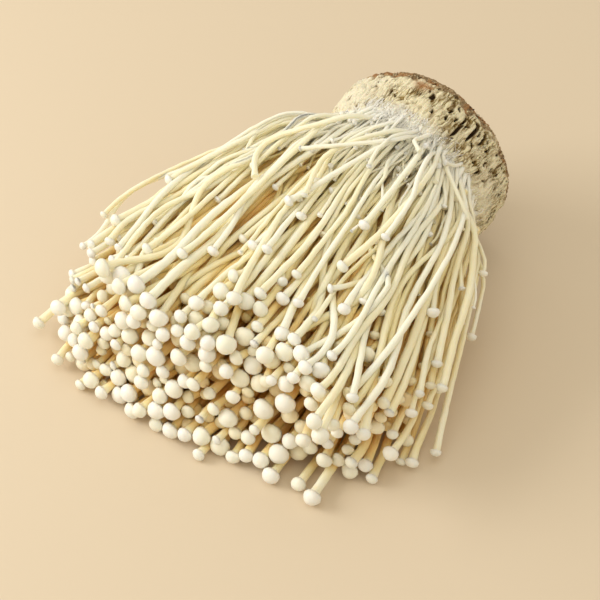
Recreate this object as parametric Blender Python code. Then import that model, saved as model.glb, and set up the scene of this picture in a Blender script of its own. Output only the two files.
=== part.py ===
"""Enoki mushroom bunch, lying on its side.

Metres, +Z up, with the surface it lies on at z = 0. The bunch runs along Y: the root plug is at +Y and the
caps fan out towards -Y. X is across the fan. Distances called "along" are measured from the plug's foot, where
the stems leave it, towards the caps.
"""
import math
import random

import bmesh
import bpy
from mathutils import Matrix, Vector

# The root plug, the felted block of stem feet and growing medium that holds the bunch together.
PLUG_FOOT_RADIUS = 0.0300      # where the stems leave it, and at the cut end
PLUG_SWELL = 0.0004            # how much wider it is half-way along
PLUG_LENGTH = 0.0190
PLUG_ROUNDING = 0.0012         # worn edge round the cut face
PLUG_LOBES = 9                 # its side is not quite round
PLUG_LOBE_DEPTH = 0.0004
PLUG_SIDES = 36
PLUG_FLAT = 0.0009             # how much of its underside is pressed flat
PLUG_TURN = math.radians(5.0)  # its cut end is turned a little towards -X

# The heap that the stems make, seen from the cap end.
LEFT_SPREAD = 0.0330           # how far the -X edge goes past the plug's radius at REACH
RIGHT_SPREAD = 0.0420
SPREAD_POWER = {"left": 0.65, "right": 0.75}
REACH = 0.1000
HEAP_HEIGHT = 0.0405           # at the caps
SHOULDER_DROP = {"left": 0.22, "right": 0.45}  # how much lower the heap's edges are than its middle
SETTLED_AT = 0.0850            # how far along the stems have settled into the heap
FLOOR_GAP = 0.0001             # the lowest stems and caps over the surface

# How far the lowest and the highest layers reach: place across (-1 left edge, 1 right edge) and reach.
LOW_REACH = ((-1, 0.104), (-0.8, 0.110), (-0.6, 0.1125), (-0.4, 0.110), (-0.2, 0.108), (0.1, 0.1065),
             (0.35, 0.1045), (0.62, 0.104), (0.75, 0.093), (0.9, 0.080), (1, 0.073))
TOP_REACH = ((-1, 0.088), (-0.8, 0.098), (-0.55, 0.104), (-0.3, 0.101), (0, 0.095), (0.2, 0.088), (0.5, 0.089),
             (0.75, 0.090), (0.9, 0.080), (1, 0.067))
REACH_JITTER = 0.002

# The clumps: each is one handful of mushrooms whose feet have grown together.
COLUMNS = "ABCDEFGHI"
ROWS_PER_COLUMN = (3, 5, 5, 6, 6, 6, 5, 5, 3)
STEM_RADIUS = 0.00125
CAP_RADIUS = (0.0021, 0.0026)
FOOT_LENGTH = 0.0070
GAP = 0.0003                   # between any two pieces
FOOT_RINGS = ((GAP, 0.0), (FOOT_LENGTH * 0.55, 0.15), (FOOT_LENGTH, 0.5))  # along, and how far it tapers in
SIDES = 5
STEM_STATIONS = (0.0, 0.16, 0.42, 0.72, 1.0)

SEED = 4

# Mushrooms that stand apart from the clumps, on the outside of the heap. Each passes through (across, level,
# along) points of the heap, a little past its edge, and then come its stem and cap radii.
STRAYS = {
    "stray_left": (((-1.10, 0.45), (-1.12, 0.60), (-1.03, 0.18)), 0.1025, 0.0011, 0.0023),
    "stray_left_high": (((-0.84, 1.06), (-0.93, 1.11), (-0.90, 1.12)), 0.0760, 0.0010, 0.0021),
    "stray_left_short": (((-0.72, 1.06), (-0.90, 1.18), (-0.97, 1.20)), 0.0540, 0.0010, 0.0019),
    "stray_right_low": (((1.04, 0.52), (1.05, 0.55), (1.08, 0.06)), 0.0640, 0.0010, 0.0019),
    "stray_right_long": (((1.10, 0.35), (1.12, 0.22), (1.10, 0.14)), 0.0310, 0.0009, 0.0018),
    "stray_right_short": (((1.10, 0.72), (1.12, 0.70), (1.10, 0.62)), 0.0185, 0.0008, 0.0016),
    "short_top_1": (((-0.62, 1.045), (-0.58, 1.10), (-0.56, 1.09)), 0.0400, 0.0009, 0.0016),
    "short_top_2": (((0.28, 1.045), (0.08, 1.11), (-0.14, 1.10)), 0.0470, 0.0010, 0.0019),
    "short_top_3": (((0.42, 1.045), (0.40, 1.10), (0.33, 1.09)), 0.0410, 0.0011, 0.0020),
    "short_top_4": (((0.57, 1.050), (0.55, 1.10), (0.36, 1.11)), 0.0550, 0.0011, 0.0021),
    "short_top_5": (((-0.42, 1.045), (-0.40, 1.10), (-0.38, 1.07)), 0.0780, 0.0010, 0.0020),
}
STRAY_STATIONS = (0.0, 0.12, 0.35, 0.68, 1.0)

MATERIALS = {
    "enoki_flesh": ((0.90, 0.85, 0.70), 0.55),
    "root_felt": ((0.58, 0.44, 0.26), 0.90),
}


def clear_scene():
    for item in list(bpy.data.objects):
        bpy.data.objects.remove(item, do_unlink=True)


def make_materials():
    made = {}
    for name, (colour, roughness) in MATERIALS.items():
        material = bpy.data.materials.new(name)
        material.use_nodes = True
        shader = material.node_tree.nodes["Principled BSDF"]
        shader.inputs["Base Color"].default_value = (*colour, 1.0)
        shader.inputs["Roughness"].default_value = roughness
        shader.inputs["Metallic"].default_value = 0.0
        made[name] = material
    return made


def make_object(name, shape, material):
    """Turn a bmesh into a named, smooth-shaded object."""
    mesh = bpy.data.meshes.new(name)
    bmesh.ops.recalc_face_normals(shape, faces=shape.faces[:])
    shape.to_mesh(mesh)
    shape.free()
    mesh.materials.append(material)
    mesh.shade_smooth()
    mesh.set_sharp_from_angle(angle=math.radians(40))
    made = bpy.data.objects.new(name, mesh)
    bpy.context.scene.collection.objects.link(made)
    return made


def mix(a, b, t):
    return a + (b - a) * t


def smooth_step(t):
    t = min(max(t, 0.0), 1.0)
    return t * t * (3 - 2 * t)


def plug_axis():
    """Unit vector along the plug, towards its cut face."""
    return Vector((-math.sin(PLUG_TURN), math.cos(PLUG_TURN), 0))


def plug_foot_centre():
    """The plug lies on its side, pressed in by PLUG_FLAT."""
    return Vector((0, 0, PLUG_FOOT_RADIUS + PLUG_SWELL - PLUG_FLAT))


def interpolate(table, x):
    for (x0, y0), (x1, y1) in zip(table, table[1:]):
        if x <= x1:
            return mix(y0, y1, (max(x, x0) - x0) / (x1 - x0))
    return table[-1][1]


def bundle_point(across, level, along):
    """A point inside the heap of stems.

    across runs from -1 at the left edge to 1 at the right, level from 0 underneath to 1 on top, and along from
    the plug's foot. The section is a disc at the plug and a flat-bottomed heap at the caps.
    """
    side = "left" if across < 0 else "right"
    spread = LEFT_SPREAD if across < 0 else RIGHT_SPREAD
    x = across * (PLUG_FOOT_RADIUS - 0.0015 + spread * (along / REACH) ** SPREAD_POWER[side])
    edge = min(abs(across), 1.0)
    chord = math.sqrt(1 - 0.88 * edge * edge)
    centre = plug_foot_centre().z
    disc_z = centre + (PLUG_FOOT_RADIUS - 0.0012) * chord * (2 * level - 1)
    heap_z = level * HEAP_HEIGHT * (1 - SHOULDER_DROP[side] * edge ** 2.5)
    z = mix(disc_z, heap_z, smooth_step(along / SETTLED_AT))
    turn = math.tan(PLUG_TURN) * max(0.0, 1 - along / 0.05)
    return Vector((x, x * turn - along, z))


def keep_above_surface(path, stem_radius, cap_radius):
    for point in path:
        point.z = max(point.z, stem_radius + FLOOR_GAP)
    path[-1].z = max(path[-1].z, cap_radius + FLOOR_GAP)


def ring(shape, centre, side, up, radius):
    corners = []
    for step in range(SIDES):
        angle = 2 * math.pi * step / SIDES
        corners.append(shape.verts.new(centre + (side * math.cos(angle) + up * math.sin(angle)) * radius))
    return corners


def bridge(shape, first, second):
    count = len(first)
    for step in range(count):
        after = (step + 1) % count
        shape.faces.new((first[step], first[after], second[after], second[step]))


def add_mushroom(shape, path, stem_radius, cap_radius):
    """Sweep a stem along the path and close it with a button cap at the path's end."""
    tangent = (path[1] - path[0]).normalized()
    side = tangent.cross(Vector((0, 0, 1))).normalized()
    rings = []
    for index, centre in enumerate(path):
        before = path[max(index - 1, 0)]
        after = path[min(index + 1, len(path) - 1)]
        tangent = (after - before).normalized()
        side = (side - tangent * side.dot(tangent)).normalized()
        rings.append(ring(shape, centre, side, side.cross(tangent), stem_radius))
    up = side.cross(tangent)
    tip = path[-1]
    for lift, width in ((0.15, 0.92), (0.75, 0.95)):
        rings.append(ring(shape, tip + tangent * cap_radius * lift, side, up, cap_radius * width))
    for first, second in zip(rings, rings[1:]):
        bridge(shape, first, second)
    shape.faces.new(rings[0][::-1])
    pole = shape.verts.new(tip + tangent * cap_radius * 1.3)
    for step in range(SIDES):
        shape.faces.new((rings[-1][step], rings[-1][(step + 1) % SIDES], pole))


def make_plug(material):
    """A short drum with a slightly lobed side, a flat cut face and a flat patch underneath."""
    axis = plug_axis()
    up = Vector((0, 0, 1))
    side = axis.cross(up)
    start = plug_foot_centre()
    profile = (
        (0.0, PLUG_FOOT_RADIUS - PLUG_ROUNDING),
        (PLUG_ROUNDING, PLUG_FOOT_RADIUS),
        (PLUG_LENGTH * 0.5, PLUG_FOOT_RADIUS + PLUG_SWELL),
        (PLUG_LENGTH - PLUG_ROUNDING, PLUG_FOOT_RADIUS),
        (PLUG_LENGTH, PLUG_FOOT_RADIUS - PLUG_ROUNDING),
    )
    shape = bmesh.new()
    rings = []
    for along, radius in profile:
        corners = []
        for step in range(PLUG_SIDES):
            angle = 2 * math.pi * step / PLUG_SIDES
            reach = radius + PLUG_LOBE_DEPTH * math.sin(PLUG_LOBES * angle)
            outward = side * math.cos(angle) + up * math.sin(angle)
            corners.append(shape.verts.new(start + axis * along + outward * reach))
        rings.append(corners)
    for first, second in zip(rings, rings[1:]):
        bridge(shape, first, second)
    shape.faces.new(rings[0][::-1])
    shape.faces.new(rings[-1])
    everything = shape.verts[:] + shape.edges[:] + shape.faces[:]
    bmesh.ops.bisect_plane(shape, geom=everything, plane_co=(0, 0, 0), plane_no=(0, 0, -1), clear_outer=True)
    rim = [edge for edge in shape.edges if edge.is_boundary]
    bmesh.ops.contextual_create(shape, geom=rim)
    return make_object("root_plug", shape, material)


def cell_edges(column, row):
    """A clump's own part of the section: its limits across and its limits in level."""
    width = 2 / len(COLUMNS)
    height = 1 / ROWS_PER_COLUMN[column]
    left = -1 + column * width
    low = row * height
    return left, left + width, low, low + height


def make_foot(cell, rows):
    """The short block in which a clump's stem feet have grown together."""
    left, right, low, high = cell
    shape = bmesh.new()
    rings = []
    for along, shrink in FOOT_RINGS:
        width = bundle_point(right, 0.5, along).x - bundle_point(left, 0.5, along).x
        rise = bundle_point((left + right) / 2, 1, along).z - bundle_point((left + right) / 2, 0, along).z
        inset_x = GAP * 0.75 / width + shrink / 2
        inset_z = GAP * 0.75 / (rise / rows) + shrink / 2
        low_x = mix(left, right, inset_x)
        high_x = mix(right, left, inset_x)
        low_z = mix(low, high, inset_z)
        high_z = mix(high, low, inset_z)
        corners = ((low_x, low_z), (high_x, low_z), (high_x, high_z), (low_x, high_z))
        rings.append([shape.verts.new(bundle_point(x, z, along)) for x, z in corners])
    for first, second in zip(rings, rings[1:]):
        bridge(shape, first, second)
    shape.faces.new(rings[0][::-1])
    shape.faces.new(rings[-1])
    bmesh.ops.triangulate(shape, faces=shape.faces[:])
    return shape


def unite(base, other):
    """Join two solids into one with an exact union, and keep the result as a plain mesh."""
    union = base.modifiers.new("grown_together", "BOOLEAN")
    union.operation = "UNION"
    union.solver = "EXACT"
    union.object = other
    evaluated = base.evaluated_get(bpy.context.evaluated_depsgraph_get())
    mesh = bpy.data.meshes.new_from_object(evaluated)
    base.modifiers.remove(union)
    base.data = mesh
    mesh.name = base.name
    bpy.data.objects.remove(other, do_unlink=True)


def make_clump(column, row, material, chance):
    """Three mushrooms side by side, fused at the foot, inside one cell of the heap."""
    rows = ROWS_PER_COLUMN[column]
    cell = cell_edges(column, row)
    left, right, low, high = cell
    name = f"clump_{COLUMNS[column]}{row + 1}"
    stems = bmesh.new()
    up_or_down = 1 if (column + row) % 2 else -1
    for place in (-1, 0, 1):
        level_shift = up_or_down * (1 if place else -1)
        across_end = mix(left, right, 0.5 + 0.30 * place)
        length = mix(interpolate(LOW_REACH, across_end), interpolate(TOP_REACH, across_end), (row + 0.5) / rows)
        length -= chance.uniform(0, 1) * REACH_JITTER + abs(place) * REACH_JITTER
        path = []
        for station in STEM_STATIONS:
            along = mix(FOOT_LENGTH * 0.5, length, station)
            across = mix(left, right, 0.5 + place * mix(0.25, 0.30, station))
            level = mix(low, high, 0.5 + level_shift * mix(0.22, 0.06, station))
            path.append(bundle_point(across, level, along))
        cap_radius = chance.uniform(*CAP_RADIUS)
        keep_above_surface(path, STEM_RADIUS, cap_radius)
        add_mushroom(stems, path, STEM_RADIUS, cap_radius)
    clump = make_object(name, make_foot(cell, rows), material)
    unite(clump, make_object(name + "_stems", stems, material))
    return clump


def make_stray(name, places, length, stem_radius, cap_radius, material):
    """One mushroom on its own, lying along the outside of the heap."""
    path = []
    for station in STRAY_STATIONS:
        half = 0 if station < 0.5 else 1
        part_way = station * 2 - half
        across = mix(places[half][0], places[half + 1][0], part_way)
        level = mix(places[half][1], places[half + 1][1], part_way)
        path.append(bundle_point(across, level, mix(GAP + stem_radius * 0.3, length, station)))
    keep_above_surface(path, stem_radius, cap_radius)
    shape = bmesh.new()
    add_mushroom(shape, path, stem_radius, cap_radius)
    return make_object(name, shape, material)


def stand_on_origin(objects):
    """Move everything so that the origin is on the surface, below the middle of the bunch."""
    corners = [vertex.co for item in objects for vertex in item.data.vertices]
    low = Vector([min(corner[axis] for corner in corners) for axis in range(3)])
    high = Vector([max(corner[axis] for corner in corners) for axis in range(3)])
    shift = Matrix.Translation((-(low.x + high.x) / 2, -(low.y + high.y) / 2, -low.z))
    for item in objects:
        item.data.transform(shift)
    return high - low


def main():
    clear_scene()
    materials = make_materials()
    chance = random.Random(SEED)
    made = [make_plug(materials["root_felt"])]
    for column, rows in enumerate(ROWS_PER_COLUMN):
        for row in range(rows):
            made.append(make_clump(column, row, materials["enoki_flesh"], chance))
    for name, (places, length, stem_radius, cap_radius) in STRAYS.items():
        made.append(make_stray(name, places, length, stem_radius, cap_radius, materials["enoki_flesh"]))
    size = stand_on_origin(made)
    print("pieces", len(made), "size in mm", [round(side * 1000, 1) for side in size])
    print("triangles", sum(len(face.vertices) - 2 for item in made for face in item.data.polygons))


main()
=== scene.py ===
import math

import bpy
import numpy as np
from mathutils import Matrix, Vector


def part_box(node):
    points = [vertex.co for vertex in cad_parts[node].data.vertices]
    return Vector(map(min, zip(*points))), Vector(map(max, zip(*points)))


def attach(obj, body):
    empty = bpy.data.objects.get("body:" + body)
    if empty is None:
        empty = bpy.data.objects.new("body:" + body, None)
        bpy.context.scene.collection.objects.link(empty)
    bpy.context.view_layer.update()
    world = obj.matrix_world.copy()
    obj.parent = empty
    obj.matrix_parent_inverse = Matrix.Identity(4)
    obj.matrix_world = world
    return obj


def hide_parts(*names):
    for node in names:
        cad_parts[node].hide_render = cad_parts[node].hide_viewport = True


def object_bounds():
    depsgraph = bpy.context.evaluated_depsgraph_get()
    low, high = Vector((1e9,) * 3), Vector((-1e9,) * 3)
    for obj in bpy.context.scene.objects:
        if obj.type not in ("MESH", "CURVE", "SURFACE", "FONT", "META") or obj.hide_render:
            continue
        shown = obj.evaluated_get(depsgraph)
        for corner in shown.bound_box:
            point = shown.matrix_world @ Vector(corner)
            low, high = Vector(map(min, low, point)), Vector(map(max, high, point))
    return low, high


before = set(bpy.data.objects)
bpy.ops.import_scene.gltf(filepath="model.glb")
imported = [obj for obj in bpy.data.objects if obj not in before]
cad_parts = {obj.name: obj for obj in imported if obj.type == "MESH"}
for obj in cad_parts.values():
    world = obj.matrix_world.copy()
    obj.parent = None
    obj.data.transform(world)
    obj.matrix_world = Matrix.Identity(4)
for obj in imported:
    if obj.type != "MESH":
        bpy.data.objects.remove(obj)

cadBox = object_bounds()
mm = 0.001      # sizes are worked out in millimetres, and meshes are made in metres

# the root plug's own sizes, as its solid has them
plugSizes = {"radius": 30.0, "swell": 0.4, "length": 19.0, "turn": 5.0, "pressedFlat": 0.9, "rounding": 1.2}

# the heap that the stems make: it opens from the plug's round foot into a flat-bottomed fan
heapSizes = {"leftSpread": 33.0, "rightSpread": 42.0, "leftPower": 0.65, "rightPower": 0.75, "reach": 100.0,
             "height": 40.5, "leftDrop": 0.22, "rightDrop": 0.45, "settledAt": 85.0}

turnedBy = math.radians(plugSizes["turn"])
plugAxis = np.array([-math.sin(turnedBy), math.cos(turnedBy), 0.0])      # towards the cut face
plugUp = np.array([0.0, 0.0, 1.0])
plugSide = np.array([math.cos(turnedBy), math.sin(turnedBy), 0.0])
plugMiddle = sum(np.array(corner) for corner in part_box("root_plug")) / 2 / mm
footCentre = plugMiddle - plugAxis * plugSizes["length"] / 2
footCentre[2] = plugSizes["radius"] + plugSizes["swell"] - plugSizes["pressedFlat"]


def smoothStep(t):
    t = np.clip(t, 0, 1)
    return t * t * (3 - 2 * t)


def mix(a, b, t):
    return a + (b - a) * t


def heapPoints(across, level, along):
    # across is -1 to 1 from the left edge to the right, level 0 to 1 upwards, along from the foot to the caps
    left = across < 0
    spread = np.where(left, heapSizes["leftSpread"], heapSizes["rightSpread"])
    power = np.where(left, heapSizes["leftPower"], heapSizes["rightPower"])
    drop = np.where(left, heapSizes["leftDrop"], heapSizes["rightDrop"])
    ahead = np.maximum(along, 0)
    x = across * (plugSizes["radius"] - 1.5 + spread * (ahead / heapSizes["reach"]) ** power)
    edge = np.minimum(np.abs(across), 1)
    chord = np.sqrt(1 - 0.88 * edge * edge)
    discZ = footCentre[2] + (plugSizes["radius"] - 1.2) * chord * (2 * level - 1)
    heapZ = level * heapSizes["height"] * (1 - drop * edge ** 2.5)
    z = mix(discZ, heapZ, smoothStep(along / heapSizes["settledAt"]))
    y = x * math.tan(turnedBy) * np.clip(1 - along / 50, 0, 1) - along
    return np.stack([x + footCentre[0], y + footCentre[1], z], -1)


growth = {
    "count": 530,               # mushrooms that make the heap
    "cover": 52,                # straight ones that lie close under the top layer
    "young": 190,               # thin short ones round the outside of the foot
    "youngReach": 38.0,
    "pathPoints": 44,
    "seed": 12,
    "discRadius": 28.0,         # the feet fill this much of the plug
    "footLimit": 27.6,          # none stands out past this where it leaves the plug
    "rooted": 2.5,              # how deep a foot goes into the plug
    "stemRadius": (0.94, 1.36),
    "thinFoot": (0.56, 0.76),   # a stem is this much of its width at its foot
    "capRadius": (1.8, 3.25),
    "floorGap": 0.12,
    "bow": (-3.6, 4.2),         # how far the upper ones bend sideways on their way, and how much this varies
    # how far the lowest and the highest layers reach, at places across the fan
    "lowReach": ((-1, 102), (-0.8, 107), (-0.6, 109), (-0.4, 107), (-0.2, 108), (0.1, 105), (0.35, 99),
                 (0.62, 95), (0.75, 84), (0.9, 72), (1, 66)),
    "topReach": ((-1, 84), (-0.8, 94), (-0.55, 100), (-0.3, 98), (0, 92), (0.2, 87), (0.5, 87), (0.75, 86),
                 (0.9, 76), (1, 64)),
}

# mushrooms of the heap whose tips have a place of their own: across, level, how far along, and cap radius
leaders = (
    (0.40, 0.07, 101, 2.9), (0.55, 0.07, 98, 2.5), (0.63, 0.08, 99.5, 2.9), (0.80, 0.10, 82.5, 2),
    (0.73, 0.09, 85, 2.8), (0.08, 0.07, 104, 3.1), (0.34, 0.13, 99, 2.8), (0.62, 0.20, 88.5, 2.6),
    (0.68, 0.27, 83, 2), (0.74, 0.44, 75, 2.8), (0.48, 0.37, 88.5, 2.6), (0.54, 0.41, 85.5, 2.8),
    (0.49, 0.54, 80.5, 2.9), (0.28, 0.60, 89, 3.2), (0.32, 0.35, 93, 3.4), (0.22, 0.12, 100.5, 2.4),
    (0.94, 0.12, 71, 2.1), (0.94, 0.24, 63, 1.8), (0.91, 0.19, 68, 1.5), (0.79, 0.82, 65, 1.6),
    (-0.55, 0.06, 112, 2), (-0.43, 0.07, 109, 2.4), (-0.38, 0.08, 105.5, 3), (-0.72, 0.07, 109, 2.2),
    (-0.78, 0.11, 102, 2), (-0.59, 0.72, 82, 3.2), (-0.95, 0.73, 82, 1.6), (0.95, 0.49, 41, 1.2),
    (1, 0.40, 52, 1.8), (0.31, 0.91, 77.5, 2.7), (0.27, 0.75, 86.5, 3), (0.13, 0.89, 87, 3.2),
)

# mushrooms that lie over the top of the heap: across at foot and tip, how far along the tip is, cap radius,
# and how late the stem turns towards its tip
overTop = (
    (-0.93, -1.05, 51, 1.5, 1), (-0.95, -1.02, 72, 1.4, 1), (-0.62, -0.74, 69, 1.6, 1),
    (-0.78, -0.67, 75, 1.7, 1), (-0.42, -0.60, 53, 1.5, 2.2), (-0.30, -0.48, 69, 1.7, 2.6),
    (-0.66, -0.57, 82, 2, 1), (-0.20, -0.28, 71, 2, 1), (-0.85, -0.75, 84, 1.6, 1),
    (-0.80, -0.70, 88, 1.7, 1), (-0.95, -0.88, 79, 1.5, 1), (-0.98, -0.90, 86, 1.6, 1),
    (-0.50, -0.45, 95, 3, 1), (-0.25, -0.30, 97, 2.8, 1), (-0.12, -0.23, 61, 1.8, 1.6),
    (-0.26, -0.17, 66, 1.1, 1), (0.03, -0.08, 63, 2, 1.4), (-0.15, -0.05, 64, 1.8, 1),
    (0.02, -0.03, 68, 1.3, 1), (0.05, -0.04, 77, 2.1, 1), (0, 0.06, 77, 2.3, 1),
    (-0.14, -0.09, 83, 2.8, 1), (0.02, 0, 85, 2.4, 1), (0.10, 0.04, 82, 2.5, 1.2),
    (0.06, 0.10, 81, 2.9, 1), (0.22, 0.15, 80, 2.5, 1), (0.28, 0.17, 72, 2.4, 1.3),
    (0.12, 0.13, 64, 1.8, 1), (-0.36, -0.33, 42, 1.3, 2),
    (-0.35, -0.45, 26, 1, 1.5), (0.10, -0.08, 36, 1.5, 1.6),
    (-0.28, -0.17, 43, 1.3, 1.6), (0.02, -0.04, 48, 1.8, 1.4), (0.13, 0.08, 44, 1.2, 1),
    (0.22, 0.15, 48, 1.7, 1.2), (0.62, 0.42, 41, 1.7, 1.6), (0.32, 0.25, 38, 1, 1.2),
    (0.58, 0.37, 61, 1.5, 4), (0.30, 0.25, 71, 1.8, 1.2), (0.72, 0.60, 55, 1.7, 2),
    (0.66, 0.58, 57, 1.6, 1), (0.64, 0.53, 63, 2.2, 1.4), (0.48, 0.35, 72, 1.1, 1.5),
    (0.42, 0.33, 80, 2.5, 1), (0.56, 0.50, 79, 1.9, 1), (0.58, 0.63, 76, 2, 1),
    (0.52, 0.45, 88, 2.1, 1), (0.60, 0.63, 84, 2, 1), (0.65, 0.57, 89, 2.5, 1.3),
    (0.64, 0.60, 99, 2.6, 1), (0.72, 0.66, 99, 2.8, 1), (0.72, 0.77, 90, 2.5, 1),
    (0.76, 0.80, 89, 2.3, 1), (0.84, 0.78, 92, 2.2, 1.2),
)

# curled ones on the very top: the places each passes, across and how far along, then its stem and cap radii
curled = (
    (((-0.20, 4), (-0.34, 18), (-0.50, 23), (-0.66, 30), (-0.60, 38), (-0.45, 45)), 0.95, 0),
    (((0.20, 4), (0.03, 15), (-0.12, 24), (-0.17, 30), (-0.11, 38), (-0.07, 44)), 0.90, 1.3),
    (((0.30, 4), (0.21, 12), (0.08, 18), (-0.08, 24), (-0.22, 28), (-0.34, 31)), 0.75, 1.1),
    (((0.26, 3), (0.21, 9), (0.14, 15), (0.12, 20), (0.17, 27)), 0.72, 1),
    (((0.58, 3), (0.50, 13), (0.49, 20), (0.53, 26), (0.49, 41)), 0.85, 1.5),
    (((0.62, 2), (0.73, 10), (0.80, 14), (0.90, 17)), 0.75, 0),
    (((0.44, 1), (0.36, 6), (0.33, 10), (0.42, 13)), 0.80, 0),
)

# broken stubs, which have no cap: across at foot and tip, level, how far along they end, and their radius
stubs = (
    (0.74, 0.70, 0.96, 17, 1.15), (0.80, 0.79, 1, 12, 0.95), (0.55, 0.60, 1.03, 15, 0.9),
    (0.90, 0.93, 0.80, 13, 1), (0.34, 0.40, 1.04, 12, 0.8), (-0.30, -0.36, 1.03, 10, 0.8),
    (0.97, 1, 0.62, 11, 0.9), (-0.97, -1, 0.55, 13, 1),
)

# mushrooms that stand apart, each with its own solid: the places it passes, its length, stem and cap radii
strays = {
    "stray_left": (((-1.10, 0.45), (-1.12, 0.60), (-1.03, 0.18)), 102.5, 1.1, 2.3),
    "stray_left_high": (((-0.84, 1.06), (-0.93, 1.11), (-0.90, 1.12)), 76, 1, 2.1),
    "stray_left_short": (((-0.72, 1.06), (-0.90, 1.18), (-0.97, 1.20)), 54, 1, 1.9),
    "stray_right_low": (((1.04, 0.52), (1.05, 0.55), (1.08, 0.06)), 64, 1, 1.9),
    "stray_right_long": (((1.10, 0.35), (1.12, 0.22), (1.10, 0.14)), 31, 0.9, 1.8),
    "stray_right_short": (((1.10, 0.72), (1.12, 0.70), (1.10, 0.62)), 18.5, 0.8, 1.6),
    "short_top_1": (((-0.62, 1.045), (-0.58, 1.10), (-0.56, 1.09)), 40, 0.9, 1.6),
    "short_top_2": (((0.28, 1.045), (0.08, 1.11), (-0.14, 1.10)), 47, 1, 1.9),
    "short_top_3": (((0.42, 1.045), (0.40, 1.10), (0.33, 1.09)), 41, 1.1, 2),
    "short_top_4": (((0.57, 1.050), (0.55, 1.10), (0.36, 1.11)), 55, 1.1, 2.1),
    "short_top_5": (((-0.42, 1.045), (-0.40, 1.10), (-0.38, 1.07)), 78, 1, 2),
}
columnLetters = "ABCDEFGHI"
rowsPerColumn = (3, 5, 5, 6, 6, 6, 5, 5, 3)     # as the solids are named


def placeFeet(rng):
    # a sunflower pattern, shaken, then pushed apart so that no two feet are too close
    count = growth["count"]
    index = np.arange(count)
    turn = index * math.pi * (3 - math.sqrt(5))
    reach = growth["discRadius"] * np.sqrt((index + 0.5) / count)
    feet = np.stack([reach * np.cos(turn), reach * np.sin(turn)], -1)
    feet += rng.normal(0, 0.55, feet.shape)
    for step in range(12):
        gap = feet[:, None] - feet[None]
        distance = np.hypot(gap[..., 0], gap[..., 1]) + np.eye(count) * 99
        push = np.clip(1.9 - distance, 0, None) / np.maximum(distance, 0.2)
        feet += (gap * push[..., None]).sum(1) * 0.35
        radius = np.hypot(feet[:, 0], feet[:, 1])
        feet *= np.minimum(1, growth["discRadius"] / np.maximum(radius, 1e-6))[:, None]
    return feet


def wanderAlong(rng, count, points, waves):
    # a gentle sideways wander that starts at nothing at the foot
    t = np.linspace(0, 1, points)
    total = np.zeros((count, points))
    for wave in range(waves):
        size = rng.normal(0, 1, (count, 1)) / (wave + 1)
        phase = rng.uniform(0, 2 * math.pi, (count, 1))
        turns = (wave + 1) * rng.uniform(0.35, 0.75, (count, 1))
        total += size * (np.sin(phase + 2 * math.pi * turns * t) - np.sin(phase))
    return total


def fanAcross(across):
    # the round foot opens into a fan of even height, so places near its sides move outwards
    share = (np.abs(across) * np.sqrt(1 - across ** 2) + np.arcsin(np.abs(across))) * 2 / math.pi
    place = np.linspace(0, 1, 60)
    out = np.zeros_like(across)
    for side, drop in ((across < 0, heapSizes["leftDrop"]), (across >= 0, heapSizes["rightDrop"])):
        filled = (place - drop * place ** 3.5 / 3.5) / (1 - drop / 3.5)
        out[side] = np.interp(share[side], filled, place)
    return np.sign(across) * out


def reachAt(layer, across):
    return np.interp(across, *zip(*growth[layer]))


def makeGroup(count, **values):
    # what each mushroom of a group has, with one value for all of them where one is enough
    values = {"footLevel": 1.0, "turn": 1.0, "capRadius": 0.0, "loose": 0.0, "bow": 0.0, **values}
    return {key: np.full(count, value) if np.ndim(value) == 0 else value for key, value in values.items()}


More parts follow.
